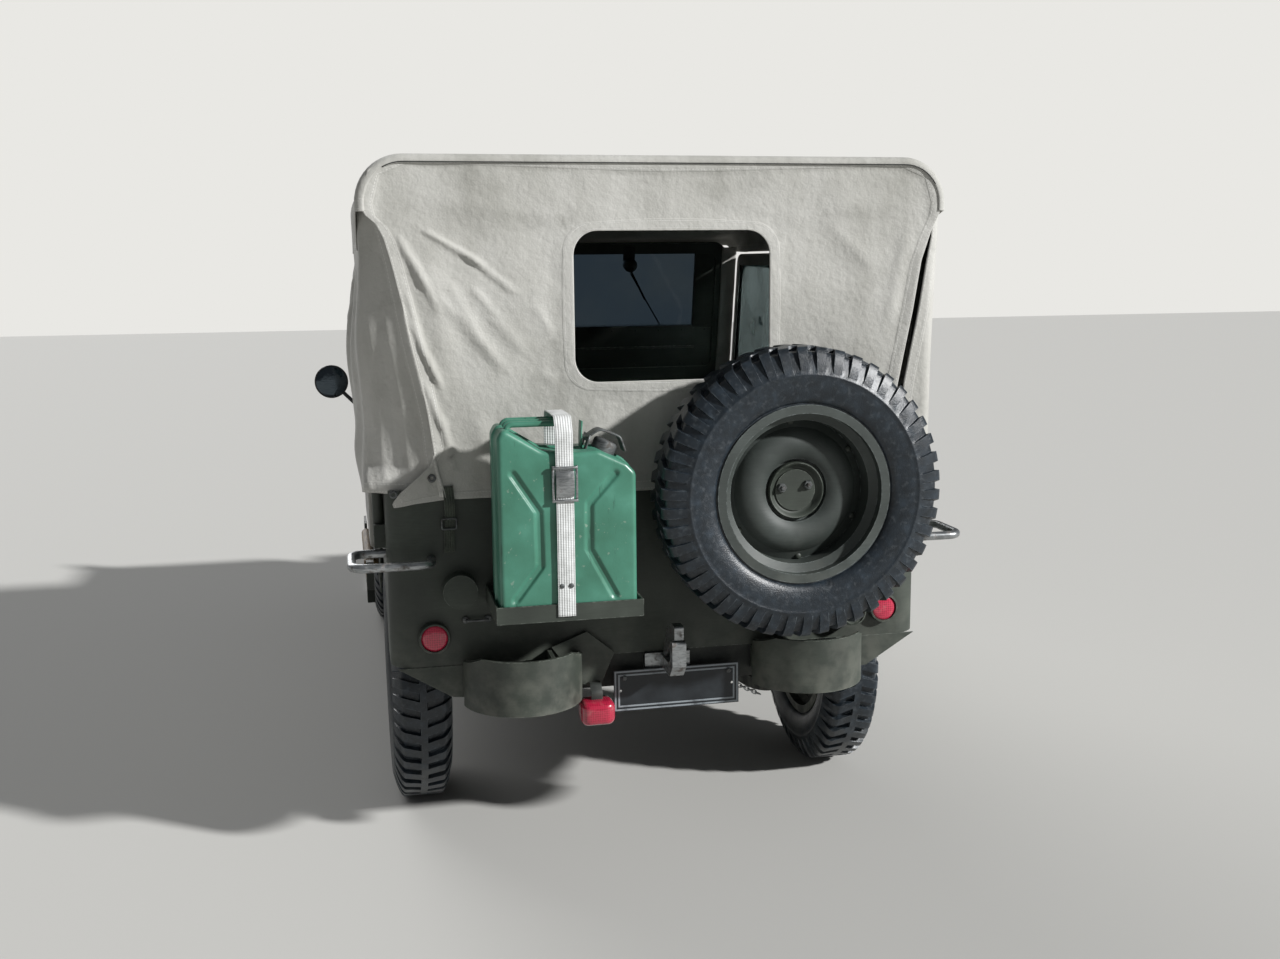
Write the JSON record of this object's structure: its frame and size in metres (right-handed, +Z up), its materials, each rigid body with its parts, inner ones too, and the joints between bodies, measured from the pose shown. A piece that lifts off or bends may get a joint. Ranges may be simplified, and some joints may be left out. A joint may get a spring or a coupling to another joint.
{
  "type": "army 4x4 car with canvas top",
  "caption": "Small open army 4x4 car with its canvas top, canvas doors and rear curtain fitted, a spare wheel and a fuel can on the rear panel; it rolls and steers on its wheels.",
  "frame": {"origin": "on the ground under the middle of the whole car's box, mirror and handles counted, so it lies 47.5 mm left of the tub's centreline", "axes": "+Z up, +Y forward along the car, +X to the car's right"},
  "size_m": [1.707, 3.363, 1.8],
  "materials": {
    "body_paint": "flat olive drab brushed paint, dusty",
    "chassis_paint": "flat dark paint with road dust",
    "canvas": "waxed cotton duck, weathered",
    "seat_canvas": "olive cotton duck over padding",
    "tyre_rubber": "dusty black rubber",
    "can_paint": "satin grey green enamel, worn",
    "webbing": "woven cotton webbing",
    "bare_steel": "worn bare steel",
    "cast_metal": "rough cast, painted and oily",
    "window_glass": "clear plate glass",
    "lamp_glass": "ribbed clear glass",
    "red_lens": "dark red moulded lens",
    "black_plate": "black plate with a pale rim",
    "ash_wood": "oiled ash handle",
    "wheel_black": "moulded hard rubber",
    "mirror_paint": "flat paint with a mirror face"
  },
  "bodies": {
    "chassis": {"frame_rails": "chassis_paint", "front_bumper": "body_paint", "floor": "body_paint", "wheelhouses": "body_paint", "side_panels": "body_paint", "rear_panel": "body_paint", "cowl": "body_paint", "fenders": "body_paint", "grille": "body_paint", "radiator": "chassis_paint", "headlamps": "lamp_glass", "windscreen_frame": "body_paint", "windscreen_glass": "window_glass", "canvas_roof": "canvas", "rear_curtain": "canvas", "quarter_curtains": "canvas", "top_bows": "body_paint", "spare_tyre": "tyre_rubber", "spare_rim": "body_paint", "spare_carrier": "body_paint", "rear_axle": "cast_metal", "front_axle": "cast_metal", "springs": "chassis_paint", "engine_block": "cast_metal", "driveline": "cast_metal", "exhaust": "cast_metal", "fuel_tank": "body_paint", "steering_column": "body_paint", "seat_frames": "body_paint", "seat_pads": "seat_canvas", "fuel_can": "can_paint", "can_handles": "can_paint", "can_tray": "body_paint", "can_strap": "webbing", "grab_handles": "bare_steel", "bumperettes": "body_paint", "tow_pintle": "bare_steel", "licence_plate": "black_plate", "rear_lamps": "red_lens", "trailer_socket": "body_paint", "shovel": "ash_wood", "axe": "ash_wood", "door_mirror": "mirror_paint"},
    "wheel_rear_left": {"tyre_rear_left": "tyre_rubber", "rim_rear_left": "body_paint"},
    "wheel_rear_right": {"tyre_rear_right": "tyre_rubber", "rim_rear_right": "body_paint"},
    "wheel_front_left": {"tyre_front_left": "tyre_rubber", "rim_front_left": "body_paint"},
    "wheel_front_right": {"tyre_front_right": "tyre_rubber", "rim_front_right": "body_paint"},
    "knuckle_left": {"knuckle_left": "cast_metal"},
    "knuckle_right": {"knuckle_right": "cast_metal"},
    "track_rod": {"track_rod": "chassis_paint"},
    "steering_wheel": {"steering_wheel": "wheel_black"},
    "bonnet": {"bonnet": "body_paint"},
    "door_left": {"door_left": "canvas"},
    "door_right": {"door_right": "canvas"}
  },
  "joints": [
    {"name": "spin_rear_left", "type": "hinge", "parent": "chassis", "child": "wheel_rear_left", "pos_m": [-0.575, -0.873, 0.362], "axis": [-1, 0, 0], "continuous": true},
    {"name": "spin_rear_right", "type": "hinge", "parent": "chassis", "child": "wheel_rear_right", "pos_m": [0.67, -0.873, 0.362], "axis": [-1, 0, 0], "continuous": true},
    {"name": "spin_front_left", "type": "hinge", "parent": "knuckle_left", "child": "wheel_front_left", "pos_m": [-0.575, 1.159, 0.362], "axis": [-1, 0, 0], "continuous": true},
    {"name": "spin_front_right", "type": "hinge", "parent": "knuckle_right", "child": "wheel_front_right", "pos_m": [0.67, 1.159, 0.362], "axis": [-1, 0, 0], "continuous": true},
    {"name": "steer_left", "type": "hinge", "parent": "chassis", "child": "knuckle_left", "pos_m": [-0.4725, 1.159, 0.362], "axis": [0, 0, 1], "range_deg": [-26, 26]},
    {"name": "steer_right", "type": "hinge", "parent": "chassis", "child": "knuckle_right", "pos_m": [0.5675, 1.159, 0.362], "axis": [0, 0, 1], "range_deg": [-26, 26]},
    {"name": "track_rod_slide", "type": "slide", "parent": "chassis", "child": "track_rod", "axis": [1, 0, 0], "range_m": [-0.0615, 0.0615]},
    {"name": "steering_wheel_turn", "type": "hinge", "parent": "chassis", "child": "steering_wheel", "pos_m": [-0.3225, 0.092, 1.155], "axis": [0, -0.766, 0.6428], "range_deg": [-365, 365]},
    {"name": "bonnet_hinge", "type": "hinge", "parent": "chassis", "child": "bonnet", "pos_m": [0.0475, 0.453, 1.024], "axis": [1, 0, 0], "range_deg": [0, 95]},
    {"name": "door_left_hinge", "type": "hinge", "parent": "chassis", "child": "door_left", "pos_m": [-0.6855, 0.407, 1], "axis": [0, 0, -1], "range_deg": [0, 75]},
    {"name": "door_right_hinge", "type": "hinge", "parent": "chassis", "child": "door_right", "pos_m": [0.7805, 0.407, 1], "axis": [0, 0, 1], "range_deg": [0, 75]}
  ],
  "couplings": [
    {"joint": "steer_right", "follows": "steer_left", "ratio": 1},
    {"joint": "track_rod_slide", "follows": "steer_left", "m_per_rad": 0.135},
    {"joint": "steering_wheel_turn", "follows": "steer_left", "ratio": 14}
  ]
}
